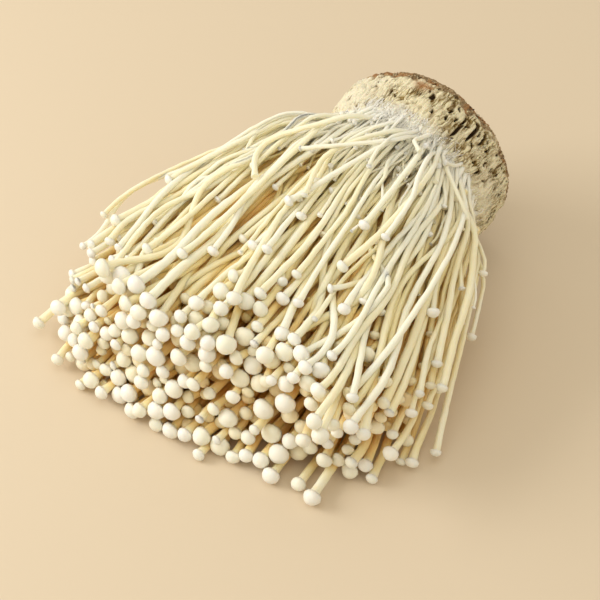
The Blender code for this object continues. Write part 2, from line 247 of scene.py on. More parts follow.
def growCrowd(rng):
    # the ones that fill the heap from underneath to the top
    feet = placeFeet(rng)
    count = len(feet)
    across = feet[:, 0] / (growth["discRadius"] + 0.1)
    level = np.clip((feet[:, 1] / (growth["discRadius"] * np.sqrt(1 - across ** 2)) + 1) / 2, 0.01, 0.99)
    stray = rng.normal(0, 1, count) * mix(0.04, 0.085, smoothStep((level - 0.5) / 0.4))
    tipAcross = np.clip(fanAcross(across) + stray, -1, 1)
    tipLevel = np.clip(level + rng.normal(0, 0.06, count), 0, 1)

    # most reach the front, some stop short, and the upper left ones end one behind another
    length = mix(reachAt("lowReach", tipAcross), reachAt("topReach", tipAcross), tipLevel ** 1.2)
    length = length - np.abs(rng.normal(0, 4.0, count))
    luck = rng.uniform(0, 1, count) + 0.6 * (tipLevel > 0.8)
    for chance, least, most in ((0.22, 4, 20), (0.07, 10, 30)):
        length = np.where(luck < chance, length - rng.uniform(least, most, count), length)
    atSide = (np.abs(tipAcross) > 0.85) & (rng.uniform(0, 1, count) < 0.5)
    length = np.where(atSide, length - rng.uniform(0, 24, count), length)
    loose = rng.uniform(0, 1, count) < 0.6 * smoothStep((tipAcross + 0.05) / 0.3)
    length = np.where(loose, length - rng.uniform(2, 24, count), length)
    inside = (rng.uniform(0, 1, count) < 0.26) & (np.abs(tipLevel - 0.45) < 0.4) & (np.abs(tipAcross) < 0.9)
    length = np.where(inside, length * rng.uniform(0.55, 0.92, count), length)
    early = luck * 7 % 1
    scattered = (early < 0.55) & (tipAcross < -0.5) & (tipLevel > 0.6)
    length = np.where(scattered, length * mix(0.62, 0.97, early / 0.55), length)

    vigour = np.clip(rng.normal(0.5, 0.24, count), 0, 1)
    vigour = vigour * np.where(length < 80, 0.5, 1) * (1 - 0.45 * smoothStep((tipAcross - 0.6) / 0.4))
    capRadius = mix(*growth["capRadius"], np.clip(vigour + rng.normal(0, 0.22, count), -0.2, 1.1))
    small = smoothStep((-tipAcross - 0.55) / 0.25) * smoothStep((tipLevel - 0.5) / 0.2)
    capRadius = np.maximum(capRadius * (1 - 0.38 * small), 1.4)
    held = np.ones(count)
    for tip, high, reach, size in leaders:
        nearest = np.argmin(((tipAcross - tip) * 60) ** 2 + ((tipLevel - high) * 38) ** 2 + (held < 1) * 1e6)
        tipAcross[nearest], tipLevel[nearest], length[nearest] = tip, high, reach
        capRadius[nearest], vigour[nearest], held[nearest] = size, (size - 1.2) / 2, 0.25
    slim = 1 - 0.12 * smoothStep((level - 0.6) / 0.3) - 0.16 * small
    return makeGroup(
        count, footAcross=across, tipAcross=tipAcross, footLevel=level, tipLevel=tipLevel, turn=-1.0,
        length=length, thinFoot=rng.uniform(*growth["thinFoot"], count), capRadius=capRadius, held=held,
        stemRadius=mix(*growth["stemRadius"], vigour) * slim,
        loose=np.where(held < 1, 0.7, 0.9 + 0.9 * smoothStep((level - 0.6) / 0.4)),
        bow=rng.normal(*growth["bow"], count) * smoothStep((level - 0.70) / 0.22))


def fillUnder(rng):
    # straight ones close under the top layer, so that no deep hole shows between those that bend
    count = growth["cover"]
    across = np.clip(np.linspace(-0.95, 0.95, count) + rng.normal(0, 0.012, count), -0.97, 0.97)
    level = rng.uniform(0.84, 0.92, count)
    tipAcross = np.clip(fanAcross(across) + rng.normal(0, 0.04, count), -1, 1)
    vigour = rng.uniform(0.3, 0.8, count)
    return makeGroup(
        count, footAcross=across, tipAcross=tipAcross, footLevel=level, tipLevel=level - 0.01, turn=-1.0,
        length=reachAt("topReach", tipAcross) - rng.uniform(4, 26, count), thinFoot=0.75,
        capRadius=mix(1.5, 2.3, vigour), stemRadius=mix(*growth["stemRadius"], vigour), held=0.8, loose=0.6,
        bow=rng.normal(0, 0.8, count))


def layOver(rng):
    # the ones over the top keep to their places, and the others make room for them
    footAcross, tip, along, cap, turn = np.array(overTop, float).T
    return makeGroup(
        len(tip), footAcross=footAcross, tipAcross=tip, footLevel=0.97, tipLevel=1.03, length=along,
        turn=turn, thinFoot=0.65, capRadius=cap, stemRadius=np.clip(0.48 + cap * 0.25, 0.65, 1.2),
        held=0.3, loose=0.7,
        bow=rng.normal(*growth["bow"], len(tip)) * np.clip(along / 70, 0, 1))


def curlOver():
    ends = ((places[-1], stem, cap) for places, stem, cap in curled)
    tips, stems, caps = (np.array(part, float) for part in zip(*ends))
    return makeGroup(len(curled), footAcross=tips[:, 0], tipAcross=tips[:, 0], tipLevel=1.0,
                     length=tips[:, 1], thinFoot=0.85, stemRadius=stems, capRadius=caps, held=0.2)


def curledPath(places, t):
    # a soft curve through the places, which rises on to the top of the others
    across, along = np.array([(places[0][0], -growth["rooted"]), *places], float).T
    corners = heapPoints(across, np.ones(len(across)), along)
    reach = runAlong(corners[None])[0]
    across, along = (np.interp(t * reach[-1], reach, values) for values in (across, along))
    for step in range(10):
        for values in (across, along):
            values[1:-1] = 0.5 * values[1:-1] + 0.25 * (values[:-2] + values[2:])
    return gather(heapPoints(across, mix(0.98, 1.13, smoothStep(t * 4)), along), along)


def leaveStubs():
    footAcross, tip, level, along, radius = np.array(stubs, float).T
    return makeGroup(len(tip), footAcross=footAcross, tipAcross=tip, footLevel=level - 0.04, tipLevel=level,
                     length=along, thinFoot=0.9, stemRadius=radius, held=0.4, loose=0.5)


def growYoung(rng):
    # thin short ones stand round the outside of the foot, most of them near the top
    count = growth["young"]
    side = math.pi / 2 + np.clip(rng.normal(0, 1.0, count), -2.0, 2.0)
    reach = rng.uniform(0.84, 0.99, count)
    across = reach * np.cos(side)
    level = np.clip((reach * np.sin(side) / np.sqrt(1 - across ** 2) + 1) / 2, 0.05, 0.98)
    radius = rng.uniform(0.42, 0.72, count)
    return makeGroup(
        count, footAcross=across, tipAcross=across + rng.normal(0, 0.11, count), footLevel=level,
        tipLevel=level + rng.uniform(0.0, 0.07, count), turn=rng.uniform(1.0, 2.0, count),
        length=6 + growth["youngReach"] * rng.uniform(0, 1, count) ** 1.6, thinFoot=0.8,
        capRadius=radius * rng.uniform(1.3, 1.7, count), stemRadius=radius, held=0.7, loose=1.7)


def gather(paths, along):
    # where it leaves the plug no stem stands out past the others
    offset = paths - footCentre
    ahead = (offset @ plugAxis)[..., None] * plugAxis
    away = offset - ahead
    distance = np.maximum(np.linalg.norm(away, axis=-1), 1e-6)
    limit = mix(np.minimum(distance, growth["footLimit"]), distance, smoothStep((along - 0.5) / 16))
    return footCentre + ahead + away * (limit / distance)[..., None]


def growPaths():
    rng = np.random.default_rng(growth["seed"])
    groups = (growCrowd(rng), layOver(rng), leaveStubs(), growYoung(rng), fillUnder(rng), curlOver())
    mushrooms = {key: np.concatenate([group[key] for group in groups]) for key in groups[0]}
    count, points, rooted = len(mushrooms["length"]), growth["pathPoints"], growth["rooted"]
    t = np.linspace(0, 1, points)[None]
    each = {key: value[:, None] for key, value in mushrooms.items()}
    along = -rooted + t * (each["length"] + rooted)

    # the crowd leans over as the heap settles, and the others turn towards their tips in their own time
    settled = smoothStep(along / heapSizes["settledAt"])
    way = np.where(each["turn"] < 0, settled, t ** np.maximum(each["turn"], 1))
    acrossAt, levelAt = (mix(each["foot" + key], each["tip" + key], way) for key in ("Across", "Level"))
    paths = heapPoints(acrossAt, levelAt, along)
    scale = (mushrooms["length"] / 100 * mushrooms["loose"])[:, None]
    paths[..., 0] += each["bow"] * np.sin(math.pi * np.clip(along / each["length"], 0, 1))
    for axis, wander in ((0, 2.5), (2, 1.4)):
        paths[..., axis] += wanderAlong(rng, count, points, 4) * wander * scale
    paths = gather(paths, along)
    paths[-len(curled):] = [curledPath(places, t[0]) for places, stem, cap in curled]

    mushrooms["node"] = clumpNames(mushrooms)
    strayPaths = []
    for name, (places, length, stemRadius, capRadius) in strays.items():
        along = -rooted + t[0] * (length + rooted)
        bend = np.array([(1 - t[0]) ** 2, 2 * t[0] * (1 - t[0]), t[0] ** 2])
        across, level = (values @ bend for values in np.array(places).T)
        strayPaths.append(gather(heapPoints(across, level, along), along))
        own = {"stemRadius": stemRadius, "capRadius": capRadius, "length": length}
        for key, value in {**own, "held": 0.15, "thinFoot": 0.7}.items():
            mushrooms[key] = np.append(mushrooms[key], value)
        mushrooms["node"].append(name)
    mushrooms["paths"] = np.concatenate([paths, np.array(strayPaths)])
    return mushrooms


def clumpNames(mushrooms):
    columns = len(columnLetters)
    names = []
    for across, level in zip(mushrooms["tipAcross"], mushrooms["tipLevel"]):
        column = int(np.clip((across + 1) / 2 * columns, 0, columns - 1))
        row = int(np.clip(level * rowsPerColumn[column], 0, rowsPerColumn[column] - 1))
        names.append(f"clump_{columnLetters[column]}{row + 1}")
    return names


def stemWidths(mushrooms):
    # how wide each stem is along its length: thin at the foot, widest past the middle, flaring into the cap
    rng = np.random.default_rng(growth["seed"] + 1)
    count, points = mushrooms["paths"].shape[:2]
    t = np.linspace(0, 1, points)[None]
    along = t * mushrooms["length"][:, None]
    grown = mix(mushrooms["thinFoot"][:, None], 1.10, smoothStep((along + 4) / 88))
    flare = 1 + 0.14 * smoothStep((t - 0.95) / 0.05)
    uneven = 1 + wanderAlong(rng, count, points, 5) * 0.035
    mushrooms["tint"] = rng.uniform(0, 1, count)
    mushrooms["thick"] = mushrooms["stemRadius"][:, None] * grown * flare * np.clip(uneven, 0.8, 1.2)


def runAlong(paths):
    steps = np.linalg.norm(np.diff(paths, axis=1), axis=2).cumsum(1)
    return np.concatenate([np.zeros((len(paths), 1)), steps], 1)


def endAim(paths):
    # the way each stem points at its tip
    aim = paths[:, -1] - paths[:, -3]
    return aim / np.linalg.norm(aim, axis=1)[:, None]


settling = {
    "steps": 70, "newPairsEvery": 7,
    "stemReach": 3.3, "capReach": 7.0,      # how far round it the others are looked for
    "press": 0.97,                          # they may press into each other a little
    "share": 0.84, "furthest": 0.9,         # how much of an overlap a step takes away, and its longest move
    "tipMoves": (0.4, 0.7, 1.0),            # how the last points of a stem follow its cap
}


def closePairs(points, owner, reach):
    # every pair of points of different mushrooms that is nearer than reach, found by sorting into cubes
    cell = np.floor(points / reach).astype(np.int64)
    cell -= cell.min(0) - 1
    span = cell.max(0) + 2
    key = (cell[:, 0] * span[1] + cell[:, 1]) * span[2] + cell[:, 2]
    order = np.argsort(key, kind="stable")
    ordered = key[order]
    firsts, seconds = [], []
    for cube in range(13, 27):      # the cube itself, and the half of its 26 neighbours that comes after it
        dx, dy, dz = cube // 9 - 1, cube // 3 % 3 - 1, cube % 3 - 1
        wanted = key + (dx * span[1] + dy) * span[2] + dz
        start = np.searchsorted(ordered, wanted, "left")
        counts = np.searchsorted(ordered, wanted, "right") - start
        first = np.repeat(np.arange(len(key)), counts)
        offset = np.arange(counts.sum()) - np.repeat(np.cumsum(counts) - counts, counts)
        second = order[np.repeat(start, counts) + offset]
        keep = (owner[first] != owner[second]) & ((cube > 13) | (first < second))
        firsts.append(first[keep])
        seconds.append(second[keep])
    first, second = np.concatenate(firsts), np.concatenate(seconds)
    near = ((points[first] - points[second]) ** 2).sum(1) < reach * reach
    return first[near], second[near]


def smoothAlong(moves, times):
    for step in range(times):
        beyond = np.concatenate([moves, 2 * moves[:, -1:] - moves[:, -2:-1]], 1)
        moves[:, 1:] = 0.5 * moves[:, 1:] + 0.25 * (moves[:, :-1] + beyond[:, 2:])
        moves[:, :2] = 0
    return moves


def pairUp(spots, owner, isCap):
    # stems have close neighbours, and caps are wide, so caps are looked for further round
    first, second = closePairs(spots, owner, settling["stemReach"])
    capIndex = np.flatnonzero(isCap)
    gap = spots[capIndex][:, None] - spots[None]
    nearCap = np.argwhere((gap ** 2).sum(-1) < settling["capReach"] ** 2)
    capFirst, capSecond = capIndex[nearCap[:, 0]], nearCap[:, 1]
    keep = (owner[capFirst] != owner[capSecond]) & (~isCap[capSecond] | (capFirst < capSecond))
    plain = ~isCap[first] & ~isCap[second]
    return np.concatenate([first[plain], capFirst[keep]]), np.concatenate([second[plain], capSecond[keep]])


def settle(mushrooms):
    # the mushrooms push each other apart, and each bends as a whole
    paths = mushrooms["paths"]
    count, points = paths.shape[:2]
    cap = np.maximum(mushrooms["capRadius"], mushrooms["stemRadius"])
    radius = np.concatenate([mushrooms["thick"], cap[:, None] * settling["press"]], 1).ravel()
    owner = np.repeat(np.arange(count), points + 1)
    held = mushrooms["held"][owner]
    isCap = np.tile(np.arange(points + 1) == points, count)
    moves = np.zeros_like(paths)
    low, high = np.array(cadBox[0]) / mm, np.array(cadBox[1]) / mm
    low[2] += growth["floorGap"]
    for step in range(settling["steps"]):
        now = paths + moves
        caps = now[:, -1] + endAim(now) * (cap * 0.2)[:, None]
        spots = np.concatenate([now, caps[:, None]], 1).reshape(-1, 3)
        if step % settling["newPairsEvery"] == 0:
            first, second = pairUp(spots, owner, isCap)
            firstShare = held[first] / (held[first] + held[second])
        gap = spots[first] - spots[second]
        distance = np.linalg.norm(gap, axis=1) + 1e-6
        overlap = np.clip((radius[first] + radius[second]) * settling["press"] - distance, 0, None)
        push = gap * (overlap / distance * settling["share"])[:, None]
        change = np.zeros_like(spots)
        for axis in range(3):
            change[:, axis] += np.bincount(first, push[:, axis] * firstShare, len(spots))
            change[:, axis] -= np.bincount(second, push[:, axis] * (1 - firstShare), len(spots))
            change[:, axis] += np.clip(low[axis] + radius * 1.02 - spots[:, axis], 0, None)
            change[:, axis] -= np.clip(spots[:, axis] - (high[axis] - radius * 1.02), 0, None)
        change = change.reshape(count, points + 1, 3)
        size = np.linalg.norm(change, axis=2)[..., None]
        change *= np.minimum(1, settling["furthest"] / np.maximum(size, 1e-6))
        moves += change[:, :-1]
        moves[:, -3:] += change[:, -1:] * np.array(settling["tipMoves"])[None, :, None]
        moves = smoothAlong(moves, 4)
    mushrooms["paths"] = paths + moves
    print("settled: deepest overlap", round(float(overlap.max()), 2), "mm, top",
          round(float(mushrooms["paths"][..., 2].max()), 1), "mm")


# pairs that have grown together: how many, how far apart their tips may be, where along the shorter one they
# part, over what length, and how closely they are joined
sisters = {"pairs": 60, "apart": (2.0, 9.0), "fork": (0.30, 0.72), "parting": (12, 24), "joined": 0.48}


def joinSisters(mushrooms):
    # some pairs have grown together from the foot, and part at a fork further on
    rng = np.random.default_rng(growth["seed"] + 2)
    paths, length = mushrooms["paths"], mushrooms["length"]
    crowd = growth["count"]
    run = runAlong(paths)
    tips = paths[:crowd, -1]
    free = length[:crowd] > 50
    made = 0
    for host in rng.permutation(crowd):
        distance = np.linalg.norm(tips - tips[host], axis=1)
        near = free & (distance > sisters["apart"][0]) & (distance < sisters["apart"][1])
        near[host] = False
        if made == sisters["pairs"] or not free[host] or not near.any():
            continue
        sister = int(np.argmin(np.where(near, distance, 99)))
        fork = rng.uniform(*sisters["fork"]) * min(length[host], length[sister])
        beside = np.stack([np.interp(run[sister], run[host], paths[host, :, axis]) for axis in range(3)], -1)
        atFork = np.searchsorted(run[sister], fork)
        apart = paths[sister, atFork] - beside[atFork]
        apart[1] *= 0.2
        apart /= max(np.linalg.norm(apart), 1e-6)
        both = (mushrooms["thick"][host] + mushrooms["thick"][sister])[:, None]
        way = smoothStep((run[sister] - fork) / rng.uniform(*sisters["parting"]))[:, None]
        paths[sister] = mix(beside + apart * both * sisters["joined"], paths[sister], way)
        free[host] = free[sister] = False
        made += 1
    lowest = growth["floorGap"] + mushrooms["thick"]
    lowest[:, -1] = np.maximum(lowest[:, -1], growth["floorGap"] + mushrooms["capRadius"] * 1.04)
    paths[..., 2] = np.maximum(paths[..., 2], lowest)
    print("joined", made, "pairs")


def fillCells(mushrooms, side, low):
    # how full of flesh each small cube of the heap is
    paths = mushrooms["paths"]
    cells = np.zeros(np.ceil((paths.reshape(-1, 3).max(0) + 6 - low) / side).astype(int))
    spacing = mushrooms["length"][:, None] / (paths.shape[1] - 1)
    volume = math.pi * mushrooms["thick"] ** 2 * spacing
    volume[:, -1] += 2.9 * mushrooms["capRadius"] ** 3
    np.add.at(cells, tuple(np.floor((paths.reshape(-1, 3) - low) / side).astype(int).T), volume.ravel())
    for axis in range(3):
        cells = (np.roll(cells, 1, axis) + 2 * cells + np.roll(cells, -1, axis)) / 4
    cells = np.minimum(cells / side ** 3, 1)
    cells[:, int(((footCentre - plugAxis)[1] - low[1]) / side):] = 1      # the plug itself
    return cells


# how the daylight in the heap is worked out: the side of a cube, the rays from each point, how far along a ray
# it looks, and how much flesh dims it
daylight = {"cube": 1.5, "rays": 26, "dimming": 0.42, "reaches": (2.6, 4, 5.6, 7.5, 10, 13, 17, 22)}


# the flesh colours paint this as shade, gold and then amber where little daylight reaches
def buryDepths(mushrooms):
    # how little daylight reaches each point: 0 in the open, near 1 in the thick of the heap
    side, rays = daylight["cube"], daylight["rays"]
    paths = mushrooms["paths"]
    low = paths.reshape(-1, 3).min(0) - 6
    low[2] = 0
    cells = fillCells(mushrooms, side, low)
    spots = paths.copy()
    spots[:, -1] += endAim(paths) * (mushrooms["capRadius"] * 1.2)[:, None]
    spots = spots.reshape(-1, 3)
    lift = mix(-0.1, 1, (np.arange(rays) + 0.5) / rays)
    around = np.arange(rays) * math.pi * (3 - math.sqrt(5))
    flat = np.sqrt(1 - lift ** 2)
    light, total = 0, 0
    for direction in np.stack([flat * np.cos(around), flat * np.sin(around), lift], -1):
        blocked, before = 0, 1.6
        for reach in daylight["reaches"]:
            cell = np.floor((spots + direction * reach - low) / side).astype(int)
            inside = ((cell >= 0) & (cell < cells.shape)).all(1)
            cell = np.clip(cell, 0, np.array(cells.shape) - 1)
            blocked = blocked + np.where(inside, cells[tuple(cell.T)], 0) * (reach - before)
            before = reach
        weight = 0.6 + 0.6 * direction[2]
        light = light + weight * np.exp(-daylight["dimming"] * blocked)
        total += weight
    mushrooms["shaded"] = 1 - (light / total).reshape(paths.shape[:2])
    print("half of the flesh is buried deeper than", round(float(np.median(mushrooms["shaded"])), 2))


mushrooms = growPaths()
stemWidths(mushrooms)
print("grew", len(mushrooms["length"]), "mushrooms")
settle(mushrooms)
joinSisters(mushrooms)
buryDepths(mushrooms)


class Field:
    # one output of a node, so that what is worked out from it reads as plain sums
    def __init__(self, socket):
        self.socket, self.tree = socket, socket.id_data

    def __add__(self, other):
        return maths("ADD", self, other)

    def __sub__(self, other):
        return maths("SUBTRACT", self, other)

    def __rsub__(self, other):
        return maths("SUBTRACT", other, self)

    def __mul__(self, other):
        return maths("MULTIPLY", self, other)

    def span(self, low, high, start=0.0, end=1.0):
        # runs from start to end while the field goes from low to high
        return addNode(self.tree, "ShaderNodeMapRange", {
            "Value": self, "From Min": low, "From Max": high, "To Min": start, "To Max": end})


def addNode(tree, kind, inputs=(), output=0, **settings):
    node = tree.nodes.new(kind)
    for key, value in settings.items():
        setattr(node, key, value)
    for key, value in dict(inputs).items():
        if isinstance(value, Field):
            tree.links.new(value.socket, node.inputs[key])
        else:
            node.inputs[key].default_value = value
    return Field(node.outputs[output]) if len(node.outputs) else None


def treeOf(*values):
    return next(value.tree for value in values if isinstance(value, Field))


def maths(operation, *values):
    return addNode(treeOf(*values), "ShaderNodeMath", enumerate(values), operation=operation)


def vectorMaths(operation, inputs):
    return addNode(inputs[0].tree, "ShaderNodeVectorMath", inputs, operation=operation)


def blend(factor, first, second):
    colours = (part if isinstance(part, Field) else (*part, 1) for part in (first, second))
    values = zip((0, 6, 7), (factor, *colours))
    return addNode(treeOf(factor, first, second), "ShaderNodeMix", values, 2, data_type="RGBA")


def layered(look, colour, *layers):
    # each colour is laid over those before it, as strongly as its factor says
    for factor, over in layers:
        colour = blend(factor, look.get(colour, colour), look.get(over, over))
    return colour


def objectPlace(tree):
    return addNode(tree, "ShaderNodeTexCoord", output="Object")


def painted(tree, name):
    return addNode(tree, "ShaderNodeAttribute", output="Fac", attribute_name=name)


def noiseOver(place, scale, detail, output="Fac", **more):
    inputs = {"Vector": place, "Scale": scale, "Detail": detail, **more}
    return addNode(place.tree, "ShaderNodeTexNoise", inputs, output)


def newMaterial(name, settings):
    material = bpy.data.materials.new(name)
    material.use_nodes = True
    shader = material.node_tree.nodes["Principled BSDF"]
    for socket, value in settings.items():
        shader.inputs[socket].default_value = value
    return material, material.node_tree, shader


def finishSkin(shader, colour, height=None, strength=0.0, distance=0.0):
    links = shader.id_data.links
    links.new(colour.socket, shader.inputs["Base Color"])
    if height:
        inputs = {"Height": height, "Strength": strength, "Distance": distance}
        links.new(addNode(height.tree, "ShaderNodeBump", inputs).socket, shader.inputs["Normal"])


fleshLook = {
    "stemPale": (0.95, 0.925, 0.79), "stemWarm": (0.93, 0.86, 0.62), "stemShadeGold": (0.95, 0.79, 0.42),
    "stemShadeDeep": (0.96, 0.58, 0.18), "shadeGoldAt": (0.34, 0.70), "shadeDeepAt": (0.60, 0.90),      # painted shade: gold, then amber, where little daylight reaches deep in the heap
    "footPale": (0.955, 0.935, 0.82), "footAt": (0.032, 0.007),
    # the deep cap colour is painted shade, amber where little daylight reaches
    "capWhite": (0.975, 0.95, 0.86), "capWarm": (0.96, 0.91, 0.76), "capShadeDeep": (0.96, 0.66, 0.24),
    # the under colour is painted shade in the hollow under each cap
    "capShadeDeepAt": (0.38, 0.86), "capUnderShade": (0.50, 0.45, 0.30),
}
glow = {"Subsurface Weight": 0.90, "Subsurface Radius": (0.0012, 0.0011, 0.0010), "Subsurface Scale": 1.0}


def makeStemFlesh():
    look = fleshLook
    material, tree, shader = newMaterial("stemFlesh", {"Roughness": 0.46, "Specular IOR Level": 0.4, **glow})
    tint, run, around, shaded = (painted(tree, name) for name in ("tint", "run", "round", "shaded"))
    turn = around * (2 * math.pi)
    grain = addNode(tree, "ShaderNodeCombineXYZ", {
        "X": maths("COSINE", turn), "Y": maths("SINE", turn), "Z": run * 60.0 + tint * 40.0})
    fibres = noiseOver(grain, 3.5, 3.0)
    warmth = tint * noiseOver(objectPlace(tree), 90.0, 2.0) * fibres
    # painted shade: the stems turn gold, then amber, where little daylight reaches them
    colour = layered(
        look, "stemPale", (warmth.span(0.02, 0.24), "stemWarm"), (shaded.span(*look["shadeGoldAt"]), "stemShadeGold"),
        (shaded.span(*look["shadeDeepAt"]), "stemShadeDeep"), (run.span(*look["footAt"]), "footPale"))
    finishSkin(shader, colour, fibres, 0.25, 0.0002)
    return material


def makeCapFlesh():
    look = fleshLook
    material, tree, shader = newMaterial("capFlesh", {"Roughness": 0.42, "Specular IOR Level": 0.45, **glow})
    place = objectPlace(tree)
    tint, shaded, under = (painted(tree, name) for name in ("tint", "shaded", "under"))
    warmth = tint * noiseOver(place, 260.0, 3.0)
    # painted shade: the caps turn amber where little daylight reaches them, and their hollow underside is
    # painted darker
    colour = layered(look, "capWhite", (warmth.span(0.1, 0.6), "capWarm"),
                     (shaded.span(*look["capShadeDeepAt"]), "capShadeDeep"), (under, "capUnderShade"))
    finishSkin(shader, colour, noiseOver(place, 900.0, 3.0), 0.10, 0.0002)
    return material


mushroomShape = {
    "Stem Sides": 10, "Stem Step": 0.0024, "Stem Lumps": 0.00013,
    "Cap Segments": 12, "Cap Rings": 8, "Cap Underside": 1.35, "Small Cap Height": 0.62,
    "Cap Lumps": 0.00009, "Cap Seed": 5,
}


def newNodeTree(name, inputs, materials):
    tree = bpy.data.node_groups.new(name, "GeometryNodeTree")
    tree.interface.new_socket("Geometry", in_out="OUTPUT", socket_type="NodeSocketGeometry")
    tree.interface.new_socket("Geometry", in_out="INPUT", socket_type="NodeSocketGeometry")
    for key, value in inputs.items():
        kind = "NodeSocketInt" if isinstance(value, int) else "NodeSocketFloat"
        tree.interface.new_socket(key, in_out="INPUT", socket_type=kind).default_value = value
    for key in materials:
        tree.interface.new_socket(key, in_out="INPUT", socket_type="NodeSocketMaterial")
    return tree, {socket.name: Field(socket) for socket in tree.nodes.new("NodeGroupInput").outputs}


def namedValue(tree, name, kind="FLOAT"):
    return addNode(tree, "GeometryNodeInputNamedAttribute", {"Name": name}, "Attribute", data_type=kind)


def storeValue(geometry, name, value):
    inputs = {"Geometry": geometry, "Name": name, "Value": value}
    return addNode(geometry.tree, "GeometryNodeStoreNamedAttribute", inputs, domain="POINT")


def randomVector(low, high, seed):
    inputs = {"Min": low, "Max": high, "Seed": seed}
    return addNode(seed.tree, "FunctionNodeRandomValue", inputs, data_type="FLOAT_VECTOR")


def realize(geometry):
    return addNode(geometry.tree, "GeometryNodeRealizeInstances", {"Geometry": geometry})


def shakeSurface(geometry, amount, scale):
    # moves each point by a smooth noise, so that nothing is perfectly round
    noise = noiseOver(addNode(geometry.tree, "GeometryNodeInputPosition"), scale, 0.0, "Color")
    centred = vectorMaths("SUBTRACT", {0: noise, 1: (0.5, 0.5, 0.5)})
    offset = vectorMaths("SCALE", {0: centred, "Scale": amount * 4.0})
    return addNode(geometry.tree, "GeometryNodeSetPosition", {"Geometry": geometry, "Offset": offset})


def sweepStems(tree, given, sides):
    # each path swept with a ring, which keeps its own parameter for the fibres
    ring = addNode(tree, "GeometryNodeCurvePrimitiveCircle", {"Resolution": sides, "Radius": 1.0})
    profile = storeValue(ring, "round", addNode(tree, "GeometryNodeSplineParameter"))
    curve = addNode(tree, "GeometryNodeMeshToCurve", {"Mesh": given["Geometry"]})
    even = {"Curve": curve, "Length": given["Stem Step"]}
    return addNode(tree, "GeometryNodeCurveToMesh", {
        "Curve": addNode(tree, "GeometryNodeResampleCurve", even, mode="LENGTH"), "Profile Curve": profile,
        "Scale": namedValue(tree, "thick"), "Fill Caps": True})


def seatCaps(tree, given):
    # one button cap, a ball whose underside curls in and is hollow, seated over each stem's tip
    ball = addNode(tree, "GeometryNodeMeshUVSphere",
                   {"Segments": given["Cap Segments"], "Rings": given["Cap Rings"], "Radius": 1.0})
    place = addNode(tree, "GeometryNodeInputPosition")
    x, y, z = (addNode(tree, "ShaderNodeSeparateXYZ", {0: place}, axis) for axis in "XYZ")
    below = maths("MAXIMUM", z * -1.0, 0.0)
    curl = below * (1.0 - below) * given["Cap Underside"]
    hollow = maths("POWER", below, 4.0) * 0.35
    height = maths("MAXIMUM", z, 0.0) + hollow - curl - 0.10
    seat = addNode(tree, "ShaderNodeCombineXYZ", {"X": x, "Y": y, "Z": height})
    # the band round the underside, where the cap colour paints shade
    button = addNode(tree, "GeometryNodeSetPosition", {
        "Geometry": storeValue(ball, "under", below.span(0.40, 0.68)), "Position": seat})
    capSize = namedValue(tree, "capSize")
    isTip = addNode(tree, "FunctionNodeCompare", {"A": capSize, "B": 0.0}, operation="GREATER_THAN")
    turned = addNode(tree, "FunctionNodeAlignRotationToVector", {
        "Rotation": randomVector((0, 0, 0), (0, 0, 6.28), given["Cap Seed"]),
        "Vector": namedValue(tree, "aim", "FLOAT_VECTOR")}, axis="Z")
    plump = capSize.span(0.0012, 0.0026, given["Small Cap Height"], 1.0)
    shape = addNode(tree, "ShaderNodeCombineXYZ", {"X": capSize, "Y": capSize, "Z": capSize * plump})
    squash = randomVector((0.93, 0.93, 0.82), (1.04, 1.04, 1.0), given["Cap Seed"])
    return realize(addNode(tree, "GeometryNodeInstanceOnPoints", {
        "Points": given["Geometry"], "Selection": isTip, "Instance": button, "Rotation": turned,
        "Scale": vectorMaths("MULTIPLY", {0: squash, 1: shape})}))


def joinAndFinish(tree, parts):
    # each part gets its material, then all are joined into one smooth mesh
    both = tree.nodes.new("GeometryNodeJoinGeometry")
    for geometry, material in parts:
        made = addNode(tree, "GeometryNodeSetMaterial", {"Geometry": geometry, "Material": material})
        tree.links.new(made.socket, both.inputs[0])
    smooth = addNode(tree, "GeometryNodeSetShadeSmooth", {"Geometry": Field(both.outputs[0])})
    addNode(tree, "NodeGroupOutput", {0: realize(smooth)})


def buildMushroomTree():
    tree, given = newNodeTree("sweepMushrooms", mushroomShape, ("Stem Material", "Cap Material"))
    stems = shakeSurface(sweepStems(tree, given, given["Stem Sides"]), given["Stem Lumps"], 300.0)
    caps = shakeSurface(seatCaps(tree, given), given["Cap Lumps"], 330.0)
    joinAndFinish(tree, ((stems, given["Stem Material"]), (caps, given["Cap Material"])))
    return tree


def placeObject(name, data):
    piece = bpy.data.objects.new(name, data)
    bpy.context.scene.collection.objects.link(piece)
    return piece


def bakeNodes(name, sourceMesh, tree, inputs):
    # runs the tree on the mesh and keeps the result as a plain mesh object
    source = placeObject(name + "Source", sourceMesh)
    modifier = source.modifiers.new("nodes", "NODES")
    modifier.node_group = tree
    for item in tree.interface.items_tree:
        if item.in_out == "INPUT" and item.name in inputs:
            modifier[item.identifier] = inputs[item.name]
    mesh = bpy.data.meshes.new_from_object(source.evaluated_get(bpy.context.evaluated_depsgraph_get()))
    source.modifiers.remove(modifier)
    bpy.data.objects.remove(source, do_unlink=True)
    mesh.name = name
    return placeObject(name, mesh)


def storeValues(mesh, values):
    for key, value in values.items():
        isVector = value.ndim == 3
        data = mesh.attributes.new(key, "FLOAT_VECTOR" if isVector else "FLOAT", "POINT").data
        data.foreach_set("vector" if isVector else "value", value.ravel().astype(np.float32))
    mesh.update()


def pathMesh(name, paths, values):
    # polylines in metres that carry a value at each point
    count, points = paths.shape[:2]
    mesh = bpy.data.meshes.new(name)
    mesh.vertices.add(count * points)
    mesh.vertices.foreach_set("co", (paths * mm).reshape(-1).astype(np.float32))
    starts = (np.arange(count)[:, None] * points + np.arange(points - 1)[None]).ravel()
    mesh.edges.add(len(starts))
    mesh.edges.foreach_set("vertices", np.stack([starts, starts + 1], -1).ravel())
    storeValues(mesh, values)
    return mesh


